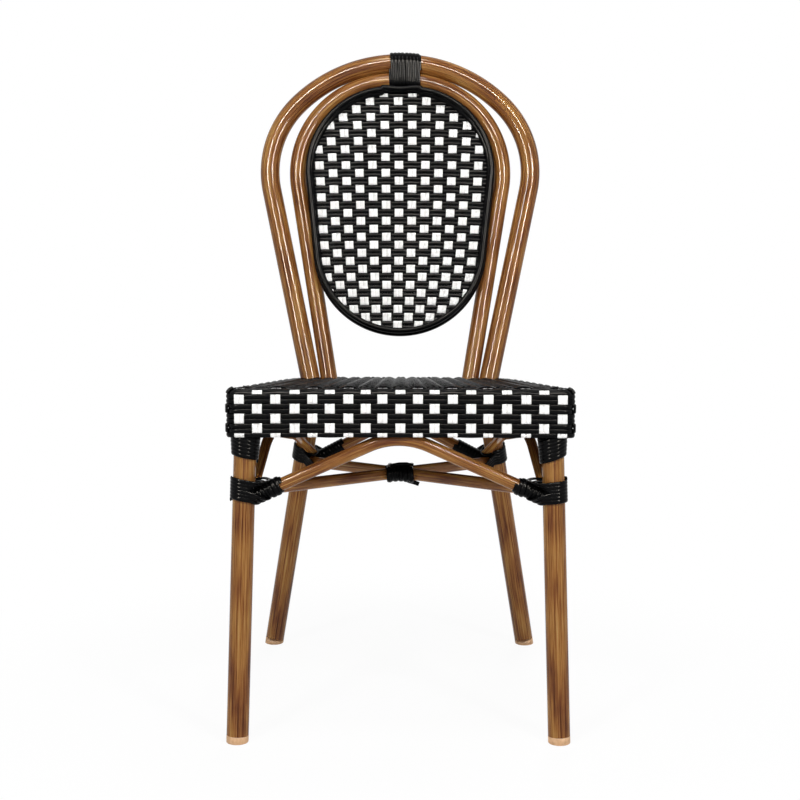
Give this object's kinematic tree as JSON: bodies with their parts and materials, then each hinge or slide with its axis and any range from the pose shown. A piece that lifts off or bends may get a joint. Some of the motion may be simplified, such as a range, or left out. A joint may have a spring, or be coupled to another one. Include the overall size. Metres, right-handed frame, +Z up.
{
  "type": "rattan bistro side chair",
  "caption": "Armless bistro side chair with a round-topped double-hoop tube back, oval woven back panel, woven seat and strand-bound arched braces.",
  "frame": {"origin": "on the floor, at the middle of the chair's bounding box seen from above", "axes": "+Z up; +Y towards the back of the chair; +X towards the viewer's right, seen from the front"},
  "size_m": [0.4318, 0.5122, 0.901],
  "materials": {
    "bamboo_finish": "glossy bamboo-print lacquer",
    "bare_tube": "painted, hidden under the weave",
    "black_strand": "semi-gloss black polyethylene",
    "check_weave": "black and white flat polyethylene strands",
    "tan_plastic": "matt"
  },
  "bodies": {
    "root": {"outer_hoop": "bamboo_finish", "inner_hoop": "bamboo_finish", "front_leg_right": "bamboo_finish", "front_leg_left": "bamboo_finish", "front_arch": "bamboo_finish", "rear_arch": "bamboo_finish", "side_arch_right": "bamboo_finish", "side_arch_left": "bamboo_finish", "long_stretcher": "bamboo_finish", "front_half_stretcher": "bamboo_finish", "rear_half_stretcher": "bamboo_finish", "seat_upper_rail": "bare_tube", "seat_lower_rail": "bare_tube", "front_cross_bar": "bare_tube", "rear_cross_bar": "bare_tube", "front_slat": "bare_tube", "rear_slat": "bare_tube", "rail_post_right_1": "bare_tube", "rail_post_right_2": "bare_tube", "rail_post_right_3": "bare_tube", "rail_post_left_1": "bare_tube", "rail_post_left_2": "bare_tube", "rail_post_left_3": "bare_tube", "back_panel_rim": "black_strand", "back_piping": "black_strand", "hoop_top_binding": "black_strand", "centre_binding": "black_strand", "leg_top_binding_right": "black_strand", "front_joint_binding_right": "black_strand", "rear_joint_binding_right": "black_strand", "leg_top_binding_left": "black_strand", "front_joint_binding_left": "black_strand", "rear_joint_binding_left": "black_strand", "seat_weave": "check_weave", "back_weave": "check_weave", "front_glide_right": "tan_plastic", "rear_glide_right": "tan_plastic", "front_glide_left": "tan_plastic", "rear_glide_left": "tan_plastic"}
  },
  "joints": []
}
